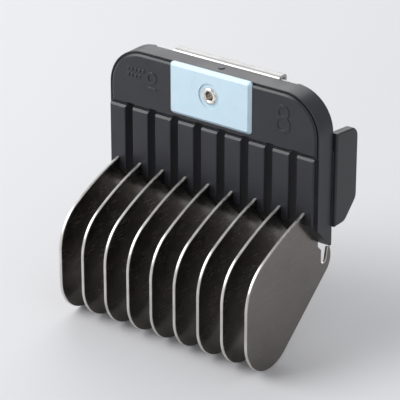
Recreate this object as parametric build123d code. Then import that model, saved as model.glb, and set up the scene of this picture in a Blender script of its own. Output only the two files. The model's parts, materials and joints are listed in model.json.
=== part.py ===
from build123d import *
import os

# Clipper guard comb, size 8, that is pushed on to a detachable clipper blade.
# Axes: X across the comb, Y towards the clipper, Z up towards the heel of the blade.
# The blade lies on the plane Y = 0. The origin is on the middle rib, in the seat's middle.
# All sizes are in millimetres.

# Driving dimensions
CUT_LENGTH = 25.4         # from the blade seat to the fins' outer edge: size 8, one inch
BLADE_WIDTH = 49.5        # the detachable blade that the comb fits
BLADE_HEEL_THICKNESS = 1.5
FIN_COUNT = 9
FIN_PITCH = 5.8
FIN_THICKNESS = 0.7
FIN_EDGE_RADIUS = 0.2

# Side view of a fin, as (y, z)
GUARD_TOP = -20.0         # the fin's outer edge is straight from here
GUARD_BOTTOM = -27.0      # to here
BEND_RADIUS = 10.1
BEND_ANGLE = 61
SHOULDER_RADIUS = 62.0
SHOULDER_ANGLE = 14
TOE_RADIUS = 8.0
TOE_ANGLE = 130
LEAD_LENGTH = 18.6        # the straight edge that goes through the hair first
ROOT_FRONT = -4.6
ROOT_REAR = -1.2
ROOT_TOP = 3.0
HOOK_NECK = [(ROOT_REAR, -14.6), (0, -15.8), (0, -18.1)]
HOOK_NOTCH = [(0, -18.1), (0.9, -19.1), (1.8, -18.2)]    # the blade's teeth rest here
HOOK_HORN = (2.2, -16.2)
HOOK_CREST = [HOOK_HORN, (2.75, -15.9), (3.1, -16.4)]

# Carrier
BODY_HALF_WIDTH = 25.8
BODY_TOP = 18.5
BODY_DEPTH = 5.0
CORNER_RADIUS = 8.4
PLATE_RISE = 0.4          # the front plate stands this far out of the carrier
PLATE_INSET = 0.55
PLATE_BEVEL = 0.45        # width of the bevel round the plate
CREASE = 0.3              # width and depth of the groove round the plate
RIB_TOP = 6.2
RIB_WIDTH = 4.0
RIB_FRONT = -6.1
RIB_BOTTOM_FRONT = -8.0
RIB_BOTTOM_REAR = -14.0
RIB_ROUND = 0.3
LEDGE_BEVEL = 0.45        # bevel along the top of each rib
SMALL_BEVEL = 0.3
GAP_TOP = 6.8             # the gaps between the ribs end here
EAR_THICKNESS = 1.65
EAR_CLEARANCE = 0.2
EAR_TOP = 10.0
EAR_BOTTOM = -10.0
EAR_DEPTH = 7.5
EAR_SLOPE = 0.8           # how much lower the ear's top is at the back
EAR_CUT = 4.0             # slanted corner at its lower end
EAR_CORNER_RADIUS = 2.2
EAR_EDGE_RADIUS = 0.4
DIGIT_X = 17.3            # middle of the raised size number
DIGIT_Z = 12.7
DIGIT_UPPER = (1.4, 1.55, 0.85)    # the rings of the 8: height above its middle, outer and inner radius
DIGIT_LOWER = (-1.2, 1.85, 1.15)
MARK_RISE = 0.15          # height of the moulded marks
MARK_ROOT = 0.1           # how far they go into the plate
TICK_X = -21.0            # left end of the two rows of ticks
TICK_PITCH = 0.95
TICK_WIDTH = 0.5
TICK_HEIGHT = 0.7
TICK_ROWS = ((14.1, 5), (12.8, 4))    # height of each row and how many ticks it has
RING_X = -14.8
RING_Z = 13.5
BAR_Z = 11.2
GATE_RADIUS = 0.7         # the moulding gate's mark on the top band

# Size tab and eyelet
TAB_WIDTH = 20.0
TAB_HEIGHT = 11.1
TAB_FRONT = -6.0
TAB_BEVEL = 0.65
TAB_CENTRE_Z = BODY_TOP - TAB_HEIGHT / 2 + 0.05
EYELET_Z = 13.4
EYELET_BORE = 0.85
EYELET_BARREL = 1.25
EYELET_FRONT_FLANGE = 1.8
EYELET_REAR_FLANGE = 1.75
DISH_RADIUS = 2.6

# Latch slide, bent from steel strip, and its two springs
STRIP = 0.6
TRAVEL = 1.5
SLIDE_HALF_WIDTH = 17.3
LIP_HALF_WIDTH = 13.0
SLIDE_BOTTOM = 8.2
SLIDE_LOW_FRONT = -1.25   # front face of the strip beside the eyelet
SLIDE_HIGH_FRONT = -0.65  # front face of the strip above the joggle
JOGGLE_START = 15.4
JOGGLE_END = 16.1
LIP_TOP = 18.9
SLIDE_GAP = 0.05          # running clearance in front of and behind the strip
SPRING_X = 9.5
SPRING_RADIUS = 0.9       # of the coil's centre line
SPRING_WIRE = 0.3
SPRING_TURNS = 6
SPRING_Y = -2.5
SEAT_TAB_BOTTOM = 9.7     # the slide's small tabs that the springs push on
SEAT_TAB_THICKNESS = 0.5
POCKET_TOP = 15.8

FRONT_PLATE_Y = -BODY_DEPTH - PLATE_RISE
FIN_CENTRES = [FIN_PITCH * (i - (FIN_COUNT - 1) / 2) for i in range(FIN_COUNT)]


def block(x0, x1, y0, y1, z0, z1):
    """A box between two corners."""
    middle = ((x0 + x1) / 2, (y0 + y1) / 2, (z0 + z1) / 2)
    return Pos(*middle) * Box(x1 - x0, y1 - y0, z1 - z0)


def plate_from_side(outline, x0, x1):
    """A flat outline drawn as (y, z), made solid between two X planes."""
    placed = Plane(origin=(x0, 0, 0), x_dir=(0, 1, 0), z_dir=(1, 0, 0)) * outline
    return extrude(placed, x1 - x0, dir=(1, 0, 0))


def plate_from_front(outline, y0, y1):
    """A flat outline drawn as (x, z), made solid between two Y planes."""
    placed = Plane(origin=(0, y1, 0), x_dir=(1, 0, 0), z_dir=(0, -1, 0)) * outline
    return extrude(placed, y1 - y0, dir=(0, -1, 0))


def carrier_outline(inset, bottom):
    """The front view of the carrier: square below, round at both top corners."""
    half = BODY_HALF_WIDTH - inset
    top = BODY_TOP - inset
    radius = CORNER_RADIUS - inset
    sketch = Pos(0, (top + bottom) / 2) * Rectangle(2 * half, top - bottom)
    corners = sketch.vertices().group_by(Axis.Y)[-1]
    return fillet(corners, radius)


def fin_outline():
    """Side view of one fin: its root in the rib, its guard curve and its tip hook."""
    with BuildLine() as line:
        bend = JernArc((-CUT_LENGTH, GUARD_TOP), (0, 1), BEND_RADIUS, -BEND_ANGLE)
        shoulder = JernArc(bend @ 1, bend % 1, SHOULDER_RADIUS, -SHOULDER_ANGLE)
        Polyline(shoulder @ 1, (ROOT_FRONT, (shoulder @ 1).Y), (ROOT_FRONT, ROOT_TOP), (ROOT_REAR, ROOT_TOP),
                 *HOOK_NECK)
        ThreePointArc(*HOOK_NOTCH)
        Line(HOOK_NOTCH[-1], HOOK_HORN)
        ThreePointArc(*HOOK_CREST)
        Line((-CUT_LENGTH, GUARD_TOP), (-CUT_LENGTH, GUARD_BOTTOM))
        toe = JernArc((-CUT_LENGTH, GUARD_BOTTOM), (0, -1), TOE_RADIUS, TOE_ANGLE)
        lead = Line(toe @ 1, toe @ 1 + (toe % 1) * LEAD_LENGTH)
        TangentArc(lead @ 1, HOOK_CREST[-1], tangent=lead % 1)
    return make_face(line.edges())


def fin(centre):
    """One steel fin with its free edges rounded."""
    half = FIN_THICKNESS / 2
    plate = plate_from_side(fin_outline(), centre - half, centre + half)
    sides = plate.faces().filter_by(Axis.X)
    return fillet(sides[0].edges() + sides[1].edges(), FIN_EDGE_RADIUS)


def rib(centre):
    """One rib: a bar with a bevelled top ledge and a sloping lower end."""
    behind_plate = -BODY_DEPTH + 0.5
    outline = Polygon(
        (RIB_FRONT, RIB_TOP - LEDGE_BEVEL), (RIB_FRONT, RIB_BOTTOM_FRONT), (-0.6, RIB_BOTTOM_REAR),
        (0, RIB_BOTTOM_REAR), (0, RIB_TOP + 2), (behind_plate, RIB_TOP + 2),
        (behind_plate, RIB_TOP), (RIB_FRONT + LEDGE_BEVEL, RIB_TOP), align=None)
    bar = plate_from_side(outline, centre - RIB_WIDTH / 2, centre + RIB_WIDTH / 2)
    front_edges = bar.edges().filter_by(Axis.Z).group_by(Axis.Y)[0]
    return fillet(front_edges, RIB_ROUND)


def ear(side):
    """A wall beside the blade. side is 1 or -1."""
    inner = BLADE_WIDTH / 2 + EAR_CLEARANCE
    outline = Polygon(
        (0, EAR_TOP), (EAR_DEPTH, EAR_TOP - EAR_SLOPE), (EAR_DEPTH, EAR_BOTTOM + EAR_CUT),
        (EAR_DEPTH - EAR_CUT, EAR_BOTTOM), (0, EAR_BOTTOM), align=None)
    free_corners = outline.vertices().sort_by(Axis.X)[-3:]
    outline = fillet(free_corners, EAR_CORNER_RADIUS)
    near, far = sorted((side * inner, side * (inner + EAR_THICKNESS)))
    wall = plate_from_side(outline, near, far)
    rim = wall.faces().sort_by(Axis.X)[-1 if side > 0 else 0].edges()
    return fillet(rim, EAR_EDGE_RADIUS)


def side_rail(side):
    """The carrier's outer wall beside the end rib, which carries the ear. side is 1 or -1."""
    outline = Polygon(
        (-BODY_DEPTH, RIB_TOP), (-BODY_DEPTH, RIB_BOTTOM_FRONT - 1.2), (-0.6, RIB_BOTTOM_REAR),
        (0, RIB_BOTTOM_REAR), (0, RIB_TOP), align=None)
    near, far = sorted((side * (FIN_CENTRES[-1] + RIB_WIDTH / 2 - 0.5), side * BODY_HALF_WIDTH))
    return plate_from_side(outline, near, far)


def size_digit():
    """The size number 8, two raised rings on the right of the front plate."""
    digit = Sketch()
    for height, outer, inner in (DIGIT_UPPER, DIGIT_LOWER):
        digit += Pos(DIGIT_X, DIGIT_Z + height) * (Circle(outer) - Circle(inner))
    return plate_from_front(digit, FRONT_PLATE_Y - MARK_RISE, FRONT_PLATE_Y + MARK_ROOT)


def mould_marks():
    """Two rows of small raised ticks and a ring on the left of the plate, and the gate's mark."""
    front = FRONT_PLATE_Y - MARK_RISE
    back = FRONT_PLATE_Y + MARK_ROOT
    marks = Pos(0.5, -BODY_DEPTH / 2, BODY_TOP) * Cylinder(GATE_RADIUS, 2 * MARK_RISE)
    for row, count in TICK_ROWS:
        for i in range(count):
            x = TICK_X + TICK_PITCH * i
            marks += block(x, x + TICK_WIDTH, front, back, row, row + TICK_HEIGHT)
    ring = Pos(RING_X, RING_Z) * (Circle(1.25) - Circle(0.85))
    bar = Pos(RING_X, BAR_Z) * SlotOverall(2.4, 0.5)
    return marks + plate_from_front(ring + bar, front, back)


def slide_recess():
    """The space that the latch slide runs in, open at the top and the back."""
    half = SLIDE_HALF_WIDTH + 0.2
    low_floor = SLIDE_LOW_FRONT - SLIDE_GAP
    high_floor = SLIDE_HIGH_FRONT - SLIDE_GAP
    low_top = JOGGLE_END + TRAVEL + 0.1
    recess = block(-half, half, low_floor, 1, SLIDE_BOTTOM - 0.3, low_top)
    recess += block(-half, half, high_floor, 1, low_top - 1, BODY_TOP + 1)
    for x in (-SPRING_X, SPRING_X):
        recess += block(x - 1.2, x + 1.2, SPRING_Y - 1.2, -1, SEAT_TAB_BOTTOM - 0.2, POCKET_TOP)
    return recess


def tab_recess():
    """The shallow seat of the size tab in the front plate."""
    outline = Pos(0, TAB_CENTRE_Z) * RectangleRounded(TAB_WIDTH, TAB_HEIGHT, 0.8)
    return plate_from_front(outline, FRONT_PLATE_Y - 1, -BODY_DEPTH)


def eyelet_hole(radius):
    """A hole along Y at the eyelet."""
    return Pos(0, -3, EYELET_Z) * Rot(90, 0, 0) * Cylinder(radius, 12)


def comb_body(fins):
    """The moulded carrier: plate, ribs and ears, with the fins' roots cut out of it."""
    body = plate_from_front(carrier_outline(0, RIB_TOP - 1.7), -BODY_DEPTH, 0)
    rear_rim = body.faces().sort_by(Axis.Y)[-1].edges().filter_by(lambda e: e.center().Z > RIB_TOP + 1)
    body = chamfer(rear_rim, SMALL_BEVEL)
    groove = carrier_outline(PLATE_INSET - CREASE, 0) - carrier_outline(PLATE_INSET, -1)
    body -= plate_from_front(groove, -BODY_DEPTH - 1, -BODY_DEPTH + CREASE)
    plate = plate_from_front(carrier_outline(PLATE_INSET, RIB_TOP), FRONT_PLATE_Y, -BODY_DEPTH + 0.2)
    front_face = plate.faces().sort_by(Axis.Y)[0]
    body += chamfer(front_face.edges(), PLATE_BEVEL, PLATE_RISE - 0.1, reference=front_face)
    for left, right in zip(FIN_CENTRES, FIN_CENTRES[1:]):
        half_rib = RIB_WIDTH / 2
        body -= block(left + half_rib, right - half_rib, -9, 1, 0, GAP_TOP)
    for centre in FIN_CENTRES:
        body += rib(centre)
    for side in (-1, 1):
        body += side_rail(side) + ear(side)
    body += size_digit() + mould_marks()
    body -= slide_recess() + tab_recess() + eyelet_hole(EYELET_BARREL)
    for one in fins:
        body -= one
    return body


def size_tab():
    """The pale blue size tab, bevelled, with a dish for the eyelet."""
    outline = Pos(0, TAB_CENTRE_Z) * RectangleRounded(TAB_WIDTH, TAB_HEIGHT, 0.8)
    tab = plate_from_front(outline, TAB_FRONT, -BODY_DEPTH)
    front_face = tab.faces().sort_by(Axis.Y)[0]
    tab = chamfer(front_face.edges(), TAB_BEVEL, FRONT_PLATE_Y - TAB_FRONT, reference=front_face)
    dish = Pos(0, TAB_FRONT, EYELET_Z) * Rot(90, 0, 0) * Cylinder(DISH_RADIUS, 0.5)
    return tab - dish - eyelet_hole(EYELET_BARREL)


def eyelet():
    """The hollow rivet that holds the tab and the latch slide on the carrier."""
    front_seat = TAB_FRONT + 0.25
    rear_seat = SLIDE_LOW_FRONT + STRIP + SLIDE_GAP
    with BuildLine() as line:
        Line((EYELET_BORE, rear_seat), (EYELET_BORE, front_seat))
        lip = ThreePointArc((EYELET_BORE, front_seat), (1.3, front_seat - 0.45),
                            (EYELET_FRONT_FLANGE, front_seat))
        Polyline(lip @ 1, (EYELET_BARREL, front_seat), (EYELET_BARREL, rear_seat),
                 (EYELET_REAR_FLANGE, rear_seat))
        ThreePointArc((EYELET_REAR_FLANGE, rear_seat), (1.3, rear_seat + 0.4),
                      (EYELET_BORE, rear_seat))
    profile = Plane.XY * make_face(line.edges())
    return Pos(0, 0, EYELET_Z) * revolve(profile, Axis.Y, 360)


def latch_slide():
    """The sprung slide: a strip with a joggle, a lip over the blade's heel and two tabs."""
    low, high = SLIDE_LOW_FRONT, SLIDE_HIGH_FRONT
    shoulder = BODY_TOP - 0.1
    lower = Polygon(
        (low, SLIDE_BOTTOM), (low, JOGGLE_START), (high, JOGGLE_END), (high, shoulder),
        (high + STRIP, shoulder), (high + STRIP, JOGGLE_END - 0.2),
        (low + STRIP, JOGGLE_START - 0.2), (low + STRIP, SLIDE_BOTTOM), align=None)
    slide = plate_from_side(lower, -SLIDE_HALF_WIDTH, SLIDE_HALF_WIDTH)
    corners = slide.edges().filter_by(Axis.Y).group_by(Axis.Z)[0]
    slide = fillet(corners, 1.5)

    lip_in = high + STRIP
    lip_out = lip_in + BLADE_HEEL_THICKNESS + 0.05
    middle = STRIP / 2
    strip_line = FilletPolyline(
        (high + middle, shoulder - 2), (high + middle, LIP_TOP - middle),
        (lip_out + middle, LIP_TOP - middle), (lip_out + middle, LIP_TOP - 1.6),
        (lip_out + 0.75, LIP_TOP - 2.2), radius=0.55)
    lip_outline = trace(strip_line, STRIP)
    slide += plate_from_side(lip_outline, -LIP_HALF_WIDTH, LIP_HALF_WIDTH)

    slot_bottom = EYELET_Z - TRAVEL
    slot_outline = Pos(0, (slot_bottom + EYELET_Z) / 2) * SlotCenterToCenter(
        EYELET_Z - slot_bottom, 2 * EYELET_BARREL + 0.2, rotation=90)
    slide -= plate_from_front(slot_outline, -3, 0.5)
    for x in (-SPRING_X, SPRING_X):
        slide += block(x - 0.95, x + 0.95, SPRING_Y - 0.9, low + 0.1,
                       SEAT_TAB_BOTTOM, SEAT_TAB_BOTTOM + SEAT_TAB_THICKNESS)
    return slide


def latch_spring(x):
    """A small coil spring between the slide's tab and the top of its pocket."""
    low = SEAT_TAB_BOTTOM + SEAT_TAB_THICKNESS + SPRING_WIRE / 2 + 0.02
    high = POCKET_TOP - SPRING_WIRE / 2 - 0.02
    coil = Helix((high - low) / SPRING_TURNS, high - low, SPRING_RADIUS)
    section = Plane(coil @ 0, z_dir=coil % 0) * Circle(SPRING_WIRE / 2)
    return Pos(x, SPRING_Y, low) * sweep(section, coil)


os.makedirs("parts", exist_ok=True)
fins = [fin(centre) for centre in FIN_CENTRES]
parts = {
    "comb_body": comb_body(fins),
    "size_tab": size_tab(),
    "eyelet": eyelet(),
    "latch_slide": latch_slide(),
    "latch_spring_left": latch_spring(-SPRING_X),
    "latch_spring_right": latch_spring(SPRING_X),
}
for number, one in enumerate(fins, start=1):
    parts[f"fin_{number}"] = one
for name, shape in parts.items():
    export_step(shape, f"parts/{name}.step")
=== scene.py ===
import json
import math

import bpy
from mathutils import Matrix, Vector


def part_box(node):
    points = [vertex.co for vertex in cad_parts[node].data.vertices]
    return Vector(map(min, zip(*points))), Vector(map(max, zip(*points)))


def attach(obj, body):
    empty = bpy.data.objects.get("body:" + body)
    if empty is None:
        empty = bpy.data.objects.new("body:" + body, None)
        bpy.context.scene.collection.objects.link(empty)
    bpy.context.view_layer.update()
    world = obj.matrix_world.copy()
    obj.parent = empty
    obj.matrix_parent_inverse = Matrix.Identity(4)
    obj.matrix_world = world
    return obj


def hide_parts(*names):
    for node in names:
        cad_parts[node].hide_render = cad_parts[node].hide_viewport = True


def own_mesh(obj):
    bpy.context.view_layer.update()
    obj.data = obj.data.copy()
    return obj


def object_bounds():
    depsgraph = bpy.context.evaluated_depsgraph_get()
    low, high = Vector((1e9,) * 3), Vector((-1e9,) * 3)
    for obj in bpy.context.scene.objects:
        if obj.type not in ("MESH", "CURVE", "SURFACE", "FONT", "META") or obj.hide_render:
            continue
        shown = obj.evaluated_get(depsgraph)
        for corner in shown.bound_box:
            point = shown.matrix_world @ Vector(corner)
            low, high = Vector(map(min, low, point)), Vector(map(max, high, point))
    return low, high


MM = 0.001

# Camera
CAMERA_AZIMUTH = 36.75          # degrees from the front towards the right
CAMERA_ELEVATION = 24.8         # degrees above the horizon
CAMERA_DISTANCE = 0.457         # metres from the part's middle
CAMERA_LENS = 205.0             # millimetres

# Springs, in millimetres
SPRING_TURNS = 7
SPRING_WIRE = 0.3
SPRING_RADIUS = 0.9             # of the coil's centre line
SPRING_Y = -2.5
SPRING_FIXED_END = 15.8
SPRING_REST_LENGTH = 5.6
SPRING_END_GAP = 0.03
SPRING_END_CLOSING = 0.035      # how much the coil closes up towards both ends
WIRE_SIDES = 12
STEPS_PER_TURN = 40

# Eyelet, in millimetres
EYELET_Z = 13.4
EYELET_RING_RATE = 55.0         # radians of the tool's rings over one millimetre

# Stage
FLOOR_COLOUR = (0.66, 0.66, 0.675, 1)
FLOOR_HALF_SIDE = 3.0           # metres
ROOM_COLOUR = (0.93, 0.94, 0.96, 1)
ROOM_STRENGTH = 0.58
# Soft lights: name, place from the part's middle, width and height in metres, power in watts
SOFTBOXES = (
    ("front_left", (-0.40, -0.36, 0.42), 0.50, 0.50, 4.1),
    ("back_left", (-0.36, 0.50, 0.36), 0.70, 0.45, 1.7),
    ("right", (0.55, -0.25, 0.45), 0.40, 0.40, 0.35),
)


# ---------------------------------------------------------------- node helpers

class Shader:
    """One material's node tree, with short calls that add and wire its nodes."""

    def __init__(self, name):
        self.material = bpy.data.materials.new(name)
        self.material.use_nodes = True
        self.tree = self.material.node_tree
        self.tree.nodes.clear()
        output = self.tree.nodes.new("ShaderNodeOutputMaterial")
        self.surface = self.tree.nodes.new("ShaderNodeBsdfPrincipled")
        self.tree.links.new(self.surface.outputs["BSDF"], output.inputs["Surface"])
        coordinates = self.tree.nodes.new("ShaderNodeTexCoord")
        self.place = self.stretch(coordinates.outputs["Object"], (1 / MM, 1 / MM, 1 / MM))

    def plug(self, value, socket):
        """Wires a socket to another node's socket, or sets it to a plain value."""
        if isinstance(value, bpy.types.NodeSocket):
            self.tree.links.new(value, socket)
        else:
            socket.default_value = value

    def add(self, kind, inputs, **settings):
        """A new node with its sockets plugged and its properties set."""
        node = self.tree.nodes.new(kind)
        for key, value in settings.items():
            setattr(node, key, value)
        for key, value in inputs.items():
            self.plug(value, node.inputs[key])
        return node

    def set(self, **values):
        """Sets or wires the Principled shader's sockets; underscores stand for spaces."""
        for key, value in values.items():
            self.plug(value, self.surface.inputs[key.replace("_", " ")])

    def stretch(self, vector, scale, turn=(0, 0, 0)):
        """The coordinates turned and scaled. self.place, in millimetres, is made this way."""
        made = self.add("ShaderNodeMapping", {
            "Vector": vector, "Scale": scale, "Rotation": turn})
        return made.outputs["Vector"]

    def noise(self, scale, detail=3.0, rough=0.5, vector=None):
        made = self.add("ShaderNodeTexNoise", {
            "Vector": vector or self.place, "Scale": scale,
            "Detail": detail, "Roughness": rough})
        return made.outputs["Fac"]

    def cells(self, scale):
        """The distance to the nearest of many scattered points."""
        made = self.add("ShaderNodeTexVoronoi", {"Vector": self.place, "Scale": scale})
        return made.outputs["Distance"]

    def between(self, value, low, high, to_low=0.0, to_high=1.0):
        """The value's range low to high spread over to_low to to_high, and held outside it."""
        made = self.add("ShaderNodeMapRange", {
            "Value": value, "From Min": low, "From Max": high,
            "To Min": to_low, "To Max": to_high}, interpolation_type="SMOOTHSTEP", clamp=True)
        return made.outputs["Result"]

    def math(self, operation, a, b=0.0):
        made = self.tree.nodes.new("ShaderNodeMath")
        made.operation = operation
        self.plug(a, made.inputs[0])
        self.plug(b, made.inputs[1])
        return made.outputs["Value"]

    def mix(self, factor, a, b):
        """Colour a where factor is 0, colour b where it is 1."""
        made = self.tree.nodes.new("ShaderNodeMix")
        made.data_type = "RGBA"
        factor_socket, a_socket, b_socket, result = 0, 6, 7, 2
        self.plug(factor, made.inputs[factor_socket])
        self.plug(a, made.inputs[a_socket])
        self.plug(b, made.inputs[b_socket])
        return made.outputs[result]

    def rounded(self, radius):
        """Normals as if every sharp edge had this radius, in metres."""
        made = self.add("ShaderNodeBevel", {"Radius": radius}, samples=6)
        return made.outputs["Normal"]

    def near_edge(self, radius):
        """1 beside a sharp edge and 0 on open faces."""
        flat = self.tree.nodes.new("ShaderNodeNewGeometry").outputs["Normal"]
        alike = self.add("ShaderNodeVectorMath", {0: self.rounded(radius), 1: flat},
                         operation="DOT_PRODUCT")
        return self.between(alike.outputs["Value"], 0.995, 0.8)

    def bump(self, height, strength, distance, normal=None):
        """Normals of a relief. distance is in metres."""
        inputs = {"Height": height, "Strength": strength, "Distance": distance}
        if normal is not None:
            inputs["Normal"] = normal
        return self.add("ShaderNodeBump", inputs).outputs["Normal"]

    def facing(self, axis):
        """How far the surface faces along X, Y or Z, from 0 to 1, either way."""
        normal = self.tree.nodes.new("ShaderNodeNewGeometry").outputs["True Normal"]
        parts = self.add("ShaderNodeSeparateXYZ", {"Vector": normal})
        return self.math("ABSOLUTE", parts.outputs[axis])


def hairlines(shader, scale, turn, low, high):
    """Thin scratches: 1 on a line, 0 elsewhere."""
    drawn_out = shader.stretch(shader.place, scale, turn)
    return shader.between(shader.noise(1.0, 2.0, 0.5, drawn_out), low, high)


# ------------------------------------------------------------------- materials

def carrier_plastic():
    """Black nylon, moulded in a fine spark-eroded mould, a little polished on its edges, which
    are also painted lighter as a highlight.
    """
    s = Shader("carrier_plastic")
    cloud = s.noise(0.16, 4.0, 0.55)
    grain = s.noise(7.0, 2.0, 0.6)
    pits = s.cells(4.5)
    scratches = hairlines(s, (0.25, 5.0, 5.0), (0.3, 0.5, 0.9), 0.70, 0.76)
    rubs = hairlines(s, (4.0, 4.0, 0.3), (0.2, 0.1, -0.4), 0.72, 0.78)
    marks = s.math("MAXIMUM", scratches, rubs)
    edge = s.near_edge(0.00016)
    colour = s.mix(s.between(cloud, 0.3, 0.7),
                   (0.0135, 0.0142, 0.0182, 1), (0.0195, 0.0203, 0.0250, 1))
    colour = s.mix(s.math("MULTIPLY", s.between(grain, 0.45, 0.75), 0.35),
                   colour, (0.034, 0.0345, 0.040, 1))
    # Painted highlight, with a little edge wear: the colour is lighter beside sharp edges, where
    # light catches them.
    colour = s.mix(s.math("MULTIPLY", edge, 0.5), colour, (0.075, 0.075, 0.082, 1))
    colour = s.mix(s.math("MULTIPLY", marks, 0.18), colour, (0.08, 0.08, 0.085, 1))
    rough = s.between(cloud, 0.3, 0.7, 0.31, 0.39)
    rough = s.math("ADD", rough, s.between(grain, 0.35, 0.7, -0.03, 0.05))
    rough = s.math("SUBTRACT", rough, s.math("MULTIPLY", edge, 0.08))
    relief = s.math("ADD", grain, s.math("MULTIPLY", s.between(pits, 0.05, 0.35), 0.5))
    relief = s.math("SUBTRACT", relief, s.math("MULTIPLY", marks, 0.7))
    s.set(Base_Color=colour, Roughness=rough, IOR=1.5, Specular_IOR_Level=0.46,
          Normal=s.bump(relief, 0.30, 0.00003, s.rounded(0.00014)))
    return s.material


def tab_plastic():
    """Pale blue gloss plastic, a little see-through at its edges, with faint handling marks and
    a painted highlight along its edges.
    """
    s = Shader("tab_plastic")
    cloud = s.noise(0.22, 3.0, 0.5)
    ripple = s.noise(0.5, 2.0, 0.4)
    scratches = hairlines(s, (0.2, 6.0, 6.0), (0.0, 0.45, 0.2), 0.71, 0.77)
    rubs = hairlines(s, (6.0, 6.0, 0.25), (0.0, 0.35, 0.1), 0.72, 0.78)
    marks = s.math("MAXIMUM", scratches, rubs)
    edge = s.near_edge(0.00018)
    colour = s.mix(s.between(cloud, 0.3, 0.7),
                   (0.542, 0.698, 0.798, 1), (0.563, 0.718, 0.812, 1))
    # Painted highlight: the colour is lighter beside sharp edges and bevels, where light catches
    # them.
    colour = s.mix(s.math("MULTIPLY", edge, 0.30), colour, (0.64, 0.80, 0.90, 1))
    colour = s.mix(s.math("MULTIPLY", marks, 0.07), colour, (0.48, 0.64, 0.76, 1))
    rough = s.between(cloud, 0.3, 0.7, 0.27, 0.31)
    rough = s.math("ADD", rough, s.math("MULTIPLY", marks, 0.05))
    relief = s.math("SUBTRACT", ripple, s.math("MULTIPLY", marks, 0.10))
    s.set(Base_Color=colour, Roughness=rough, IOR=1.49,
          Normal=s.bump(relief, 0.06, 0.00004, s.rounded(0.00012)))
    s.set(Subsurface_Weight=0.10, Subsurface_Scale=0.0008, Coat_Weight=0.15, Coat_Roughness=0.15)
    return s.material


def steel(name, grain_scale, light, dark, rough_low, rough_high, scratch_turn):
    """Starts a steel with rolling lines along one direction and a few scratches.

    Gives the shader and its colour, roughness, relief, clouds and scratches, to be wired up.
    """
    s = Shader(name)
    lines = s.noise(1.0, 3.0, 0.65, s.stretch(s.place, grain_scale))
    cloud = s.noise(0.3, 3.0, 0.55)
    scratches = hairlines(s, (0.3, 7.0, 7.0), scratch_turn, 0.69, 0.75)
    colour = s.mix(s.between(lines, 0.3, 0.7), dark, light)
    rough = s.between(cloud, 0.3, 0.7, rough_low, rough_high)
    rough = s.math("ADD", rough, s.between(lines, 0.3, 0.7, -0.04, 0.06))
    relief = s.math("SUBTRACT", lines, s.math("MULTIPLY", scratches, 0.6))
    return s, colour, rough, relief, cloud, scratches


def fin_steel():
    """Stamped stainless fins: rolled sides painted dark with a bronze tint as a painted
    reflection of the dark carrier and fins around them, bright tumbled edges.
    """
    # The two side colours below are painted reflection: dark and bronze-tinted, standing for the
    # black plastic and neighbouring fins that the sides mirror.
    s, side, rough, relief, cloud, scratches = steel(
        "fin_steel", (14.0, 0.22, 9.0), (0.235, 0.221, 0.205, 1), (0.198, 0.185, 0.171, 1),
        0.17, 0.24, (0.5, 0.2, 0.3))
    edge = s.between(s.facing("X"), 0.97, 0.80)
    stain = s.between(s.noise(0.12, 3.0, 0.6), 0.45, 0.70)
    side = s.mix(s.math("MULTIPLY", stain, 0.35), side, (0.175, 0.155, 0.138, 1))
    side = s.mix(s.math("MULTIPLY", scratches, 0.06), side, (0.34, 0.325, 0.31, 1))
    bright = s.mix(s.between(cloud, 0.3, 0.7), (0.55, 0.533, 0.508, 1), (0.67, 0.653, 0.628, 1))
    s.set(Base_Color=s.mix(edge, side, bright), Metallic=1.0,
          Roughness=s.math("ADD", rough, s.math("MULTIPLY", edge, 0.12)),
          Normal=s.bump(relief, 0.035, 0.00002))
    return s.material


def latch_steel():
    """Satin stainless strip, rolled across the comb."""
    s, colour, rough, relief, _, scratches = steel(
        "latch_steel", (0.18, 8.0, 8.0), (0.46, 0.457, 0.450, 1), (0.37, 0.367, 0.360, 1),
        0.34, 0.44, (0.3, 0.3, 0.5))
    worn = s.near_edge(0.00015)
    colour = s.mix(s.math("MULTIPLY", worn, 0.4), colour, (0.58, 0.576, 0.565, 1))
    colour = s.mix(s.math("MULTIPLY", scratches, 0.3), colour, (0.34, 0.335, 0.33, 1))
    s.set(Base_Color=colour, Metallic=1.0, Roughness=rough, Normal=s.bump(relief, 0.15, 0.00002))
    return s.material


def eyelet_nickel():
    """Bright nickel plate over brass, with the tool's fine rings round the flange and painted
    shade in its middle.
    """
    s = Shader("eyelet_nickel")
    cloud = s.noise(1.2, 3.0, 0.5)
    centre = s.add("ShaderNodeVectorMath", {0: s.place, 1: (0, 0, -EYELET_Z)}, operation="ADD")
    flat = s.add("ShaderNodeVectorMath", {0: centre.outputs["Vector"], 1: (1, 0, 1)},
                 operation="MULTIPLY")
    length = s.add("ShaderNodeVectorMath", {0: flat.outputs["Vector"]}, operation="LENGTH")
    radius = length.outputs["Value"]
    wander = s.math("MULTIPLY", cloud, 6.0)
    rings = s.math("SINE", s.math("ADD", s.math("MULTIPLY", radius, EYELET_RING_RATE), wander))
    colour = s.mix(s.between(cloud, 0.35, 0.65), (0.72, 0.69, 0.65, 1), (0.88, 0.86, 0.82, 1))
    # Painted shade: darker and browner in the eyelet's middle, where its hole lies in shade.
    painted_hole_shade = s.between(radius, 0.95, 0.75)
    colour = s.mix(s.math("MULTIPLY", painted_hole_shade, 0.6), colour, (0.33, 0.26, 0.20, 1))
    s.set(Base_Color=colour, Metallic=1.0, Roughness=s.between(cloud, 0.3, 0.7, 0.13, 0.24),
          Normal=s.bump(rings, 0.10, 0.00001))
    return s.material


def spring_steel():
    """Drawn spring wire."""
    s, colour, rough, relief, *_ = steel(
        "spring_steel", (6.0, 6.0, 14.0), (0.62, 0.61, 0.60, 1), (0.44, 0.43, 0.42, 1),
        0.24, 0.36, (0.2, 0.4, 0.1))
    s.set(Base_Color=colour, Metallic=1.0, Roughness=rough, Normal=s.bump(relief, 0.25, 0.00001))
    return s.material


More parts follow.
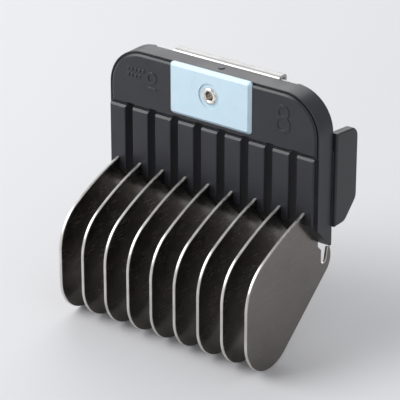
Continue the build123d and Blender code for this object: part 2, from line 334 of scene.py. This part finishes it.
def paint_cad_nodes(finishes):
    """Gives every CAD node the finish of its record slot."""
    for part in frame["record"]["subparts"]:
        node = frame["nodes"][part["node"]]
        for slot in node.material_slots:
            slot.material = finishes[part["material_slot"]]


# --------------------------------------------------------------------- springs

def spring_mesh(name, x):
    """A coil spring with closed end turns, as one smooth tube. x is in millimetres."""
    around = WIRE_SIDES
    steps = SPRING_TURNS * STEPS_PER_TURN
    wire = SPRING_WIRE / 2
    low = SPRING_FIXED_END - SPRING_REST_LENGTH + wire + SPRING_END_GAP
    high = SPRING_FIXED_END - wire - SPRING_END_GAP
    path = []
    for i in range(steps + 1):
        t = i / steps
        turn = 2 * math.pi * SPRING_TURNS * t
        rise = t - SPRING_END_CLOSING * math.sin(4 * math.pi * t)
        path.append(Vector((x + SPRING_RADIUS * math.cos(turn),
                            SPRING_Y + SPRING_RADIUS * math.sin(turn),
                            low + (high - low) * min(max(rise, 0), 1))))
    vertices, faces = [], []
    for i, point in enumerate(path):
        ahead = path[min(i + 1, steps)] - path[max(i - 1, 0)]
        outward = Vector((point.x - x, point.y - SPRING_Y, 0)).normalized()
        up = ahead.normalized().cross(outward).normalized()
        for j in range(around):
            angle = 2 * math.pi * j / around
            offset = wire * (math.cos(angle) * outward + math.sin(angle) * up)
            vertices.append((point + offset) * MM)
    for i in range(steps):
        for j in range(around):
            k = (j + 1) % around
            here, ahead = i * around, (i + 1) * around
            faces.append((here + j, here + k, ahead + k, ahead + j))
    faces.append(tuple(range(around)))
    faces.append(tuple(steps * around + j for j in reversed(range(around))))
    mesh = bpy.data.meshes.new(name)
    mesh.from_pydata(vertices, [], faces)
    mesh.validate()
    mesh.shade_smooth()
    return mesh


def add_springs(finish):
    """The two coil springs over the slide, made at their rest length and fixed to the comb."""
    for side in ("left", "right"):
        node = "latch_spring_" + side
        low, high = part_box(node)
        x = (low.x + high.x) / 2 / MM
        spring = bpy.data.objects.new("coil_" + side, spring_mesh("coil_" + side, x))
        bpy.context.scene.collection.objects.link(spring)
        spring.data.materials.append(finish)
        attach(spring, "comb")
        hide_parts(node)
        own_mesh(spring)


# ----------------------------------------------------------------------- stage

def add_floor(height):
    """A pale floor just under the comb."""
    shader = Shader("floor")
    shader.set(Base_Color=FLOOR_COLOUR, Roughness=0.6, IOR=1.3)
    half = FLOOR_HALF_SIDE
    corners = [(-half, -half, height), (half, -half, height),
               (half, half, height), (-half, half, height)]
    mesh = bpy.data.meshes.new("floor")
    mesh.from_pydata(corners, [], [(0, 1, 2, 3)])
    mesh.materials.append(shader.material)
    floor = bpy.data.objects.new("floor", mesh)
    bpy.context.scene.collection.objects.link(floor)


def add_softbox(name, place, aim, width, height, power):
    """A rectangular soft light at place, turned towards aim."""
    light = bpy.data.lights.new(name, "AREA")
    light.shape = "RECTANGLE"
    light.size = width
    light.size_y = height
    light.energy = power
    lamp = bpy.data.objects.new(name, light)
    lamp.location = place
    lamp.rotation_mode = "QUATERNION"
    lamp.rotation_quaternion = (aim - place).to_track_quat("-Z", "Y")
    bpy.context.scene.collection.objects.link(lamp)


def add_light(centre):
    """Soft studio light from the front left, the back left and the right, in a pale room."""
    for name, offset, width, height, power in SOFTBOXES:
        add_softbox(name, centre + Vector(offset), centre, width, height, power)
    world = bpy.data.worlds.new("studio")
    world.use_nodes = True
    background = world.node_tree.nodes["Background"]
    background.inputs["Color"].default_value = ROOM_COLOUR
    background.inputs["Strength"].default_value = ROOM_STRENGTH
    bpy.context.scene.world = world


def add_camera(aim):
    """The camera, looking down at the comb from its front right."""
    azimuth = math.radians(CAMERA_AZIMUTH)
    elevation = math.radians(CAMERA_ELEVATION)
    back = Vector((math.sin(azimuth) * math.cos(elevation),
                   -math.cos(azimuth) * math.cos(elevation), math.sin(elevation)))
    data = bpy.data.cameras.new("camera")
    data.lens = CAMERA_LENS
    data.clip_start = 0.01
    data.clip_end = 20
    camera = bpy.data.objects.new("camera", data)
    camera.location = aim + back * CAMERA_DISTANCE
    camera.rotation_mode = "QUATERNION"
    camera.rotation_quaternion = (-back).to_track_quat("-Z", "Y")
    bpy.context.scene.collection.objects.link(camera)
    bpy.context.scene.camera = camera


# ------------------------------------------------------------------------ build

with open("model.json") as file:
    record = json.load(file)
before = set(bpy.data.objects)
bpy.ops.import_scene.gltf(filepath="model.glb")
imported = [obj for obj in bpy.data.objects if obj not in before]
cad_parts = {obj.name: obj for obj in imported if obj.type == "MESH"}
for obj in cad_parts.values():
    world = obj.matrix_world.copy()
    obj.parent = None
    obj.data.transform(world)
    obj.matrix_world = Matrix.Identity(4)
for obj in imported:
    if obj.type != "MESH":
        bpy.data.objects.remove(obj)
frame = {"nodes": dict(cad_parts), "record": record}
cad_low, cad_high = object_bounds()
middle = (cad_low + cad_high) / 2

finishes = {
    "carrier_plastic": carrier_plastic(),
    "tab_plastic": tab_plastic(),
    "eyelet_nickel": eyelet_nickel(),
    "fin_steel": fin_steel(),
    "latch_steel": latch_steel(),
    "spring_steel": spring_steel(),
}
paint_cad_nodes(finishes)
add_springs(finishes["spring_steel"])

add_floor(cad_low.z)
add_light(middle)
add_camera(middle)
bpy.context.scene.view_settings.view_transform = "Standard"
